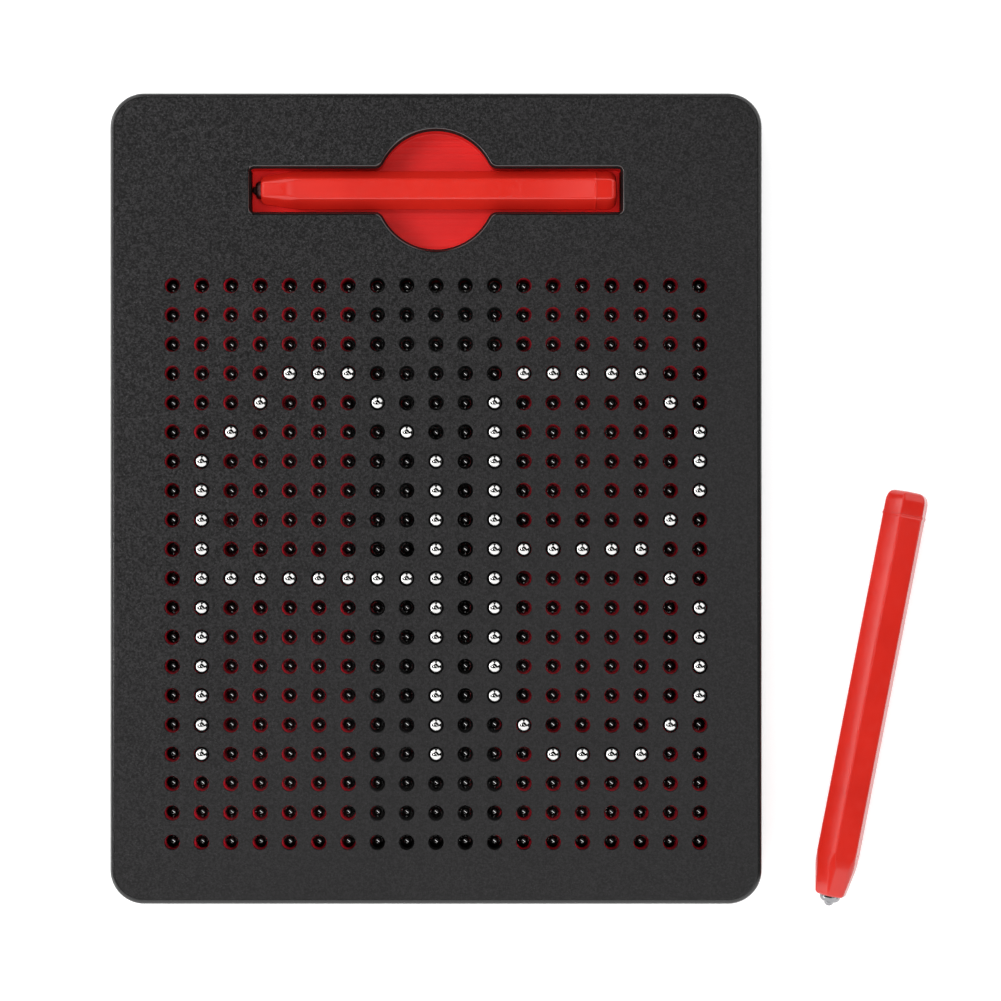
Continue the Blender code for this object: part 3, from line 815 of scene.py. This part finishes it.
def nose_rings():
    """The barrel's nose: its corners draw in evenly while its facets narrow first."""
    corner = HALF_FLATS / math.cos(math.pi / 6)
    length = NOSE_END - NOSE_TIP - NOSE_START
    rings = []
    for step in range(NOSE_STEPS + 1):
        share = step / NOSE_STEPS
        silhouette = corner - CORNER_BULGE - NOSE_NARROWING * share
        narrowing = max(0.0, 1 - share / NOSE_REACH) ** NOSE_CURVE
        facet = NOSE_FACET + (HALF_FACET - NOSE_FACET) * narrowing
        apothem = (silhouette - facet * math.sin(math.pi / 6)) / math.cos(math.pi / 6)
        apothem = min(HALF_FLATS, apothem)
        rings.append(hexagon_ring(NOSE_START + share * length, apothem, facet, NOSE_BULGE))
    for past, shrink in NOSE_ROUNDING:
        rings.append(hexagon_ring(NOSE_END + past, apothem * shrink, NOSE_FACET * shrink,
                                  NOSE_BULGE))
    return rings


def stylus_parts(body):
    """Each part's sections, material and slot, in the stylus's own frame."""
    cap = body_rings(0.0, CAP_DOME) + body_rings(CAP_LENGTH, CAP_LIP)
    cap += round_rings(CAP_LENGTH, CAP_PLUG)
    barrel = body_rings(CAP_LENGTH, BARREL_LIP)
    barrel += body_rings(0.0, [(x, 1.0) for x in (*BARREL_STATIONS, NOSE_START - NOSE_LEAD)])
    barrel += nose_rings() + round_rings(NOSE_END, NOSE_MOUTH)
    # The docked nib takes the darker steel, a painted shade.
    steel = NIB_SHADED if body == "docked_stylus" else NIB_STEEL
    turns = [math.radians(NIB_BALL_REACH * (2 * i / NIB_BALL_STEPS - 1))
             for i in range(NIB_BALL_STEPS + 1)]
    nib = [(NIB_BALL_RADIUS * math.sin(turn), NIB_BALL_RADIUS * math.cos(turn)) for turn in turns]
    return {
        "cap": (cap, RED, "red_plastic"),
        "barrel": (barrel, RED, "red_plastic"),
        "nib_collar": (round_rings(NOSE_END, COLLAR), steel, "steel"),
        "nib_ball": (round_rings(STYLUS_LENGTH - NIB_BALL_RADIUS, nib), steel, "steel"),
    }


def make_stylus(body):
    """A stylus put where the CAD one lies, along the line from its cap to its nib ball."""
    scale = STYLUS_SCALES[body]
    cap = sum(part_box(f"{body}_cap"), Vector()) / 2 / MM
    ball = sum(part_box(f"{body}_nib_ball"), Vector()) / 2 / MM
    along = Vector((ball.x - cap.x, ball.y - cap.y, 0)).normalized()
    start = ball - along * scale * (STYLUS_LENGTH - NIB_BALL_RADIUS)
    side = Vector((0, 0, 1)).cross(along)
    roll = math.radians(STYLUS_ROLLS[body])
    across = math.cos(roll) * side + Vector((0, 0, math.sin(roll)))
    above = -math.sin(roll) * side + Vector((0, 0, math.cos(roll)))

    for part, (rings, material, slot) in stylus_parts(body).items():
        shape = Shape()
        shape.turned([[start + scale * (along * x + across * y + above * z) for x, y, z in ring]
                      for ring in rings])
        shape.finish(f"{body}_{part}_shell", material, slot, body, f"{body}_{part}")
    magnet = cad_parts[f"{body}_magnet"]
    magnet.data.materials.clear()
    magnet.data.materials.append(MAGNET)


# ---------------------------------------------------------------- studio

def make_floor():
    """A wide sheet of paper under the board."""
    mesh = bpy.data.meshes.new("floor")
    half = FLOOR_SIZE / 2
    mesh.from_pydata(at_height(rectangle(-half, half, -half, half), 0.0), [], [(0, 1, 2, 3)])
    floor = bpy.data.objects.new("floor", mesh)
    bpy.context.scene.collection.objects.link(floor)
    mesh.materials.append(pale_paper())


def make_world():
    """A white surround that lights evenly and isn't seen in reflections."""
    world = bpy.data.worlds.new("studio")
    bpy.context.scene.world = world
    world.use_nodes = True
    background = world.node_tree.nodes["Background"]
    background.inputs["Color"].default_value = opaque(1.0)
    background.inputs["Strength"].default_value = WORLD_LIGHT
    world.cycles_visibility.glossy = False


def make_lights():
    """Soft lights aimed at the middle of the board."""
    for name, place, size, turn, power, seen in SOFT_LIGHTS:
        data = bpy.data.lights.new(name, "AREA")
        data.shape = "RECTANGLE"
        data.size, data.size_y = size
        data.energy = power
        lamp = bpy.data.objects.new(name, data)
        bpy.context.scene.collection.objects.link(lamp)
        lamp.location = place
        aim = (-Vector(place)).to_track_quat("-Z", "Y")
        lamp.rotation_euler = (aim @ Quaternion((0, 0, 1), math.radians(turn))).to_euler()
        lamp.visible_glossy, lamp.visible_diffuse = seen, not seen


def make_camera():
    """A camera that looks straight down, moved sideways by its lens shift and not by its place."""
    data = bpy.data.cameras.new("camera")
    data.sensor_width = SENSOR
    data.lens = SENSOR * CAMERA_HEIGHT / VIEW_WIDTH
    camera = bpy.data.objects.new("camera", data)
    bpy.context.scene.collection.objects.link(camera)
    camera.location = Vector((0.0, 0.0, FACE_Z + CAMERA_HEIGHT)) * MM
    data.shift_x, data.shift_y = VIEW_CENTRE[0] / VIEW_WIDTH, VIEW_CENTRE[1] / VIEW_WIDTH
    bpy.context.scene.camera = camera


bpy.context.scene.view_settings.view_transform = "Standard"
make_camera()
make_floor()
make_world()
make_lights()
make_cover()
make_back()
make_screws()
make_sheet("left_sheet", RED_SHEET, "red_sheet")
make_sheet("centre_sheet", BLACK_SHEET, "black_sheet")
make_sheet("right_sheet", RED_SHEET, "red_sheet")
make_wells()
make_slot_floor()
make_slot_end_shade_plates()
make_balls()
make_stylus("docked_stylus")
make_stylus("spare_stylus")

bpy.context.view_layer.update()
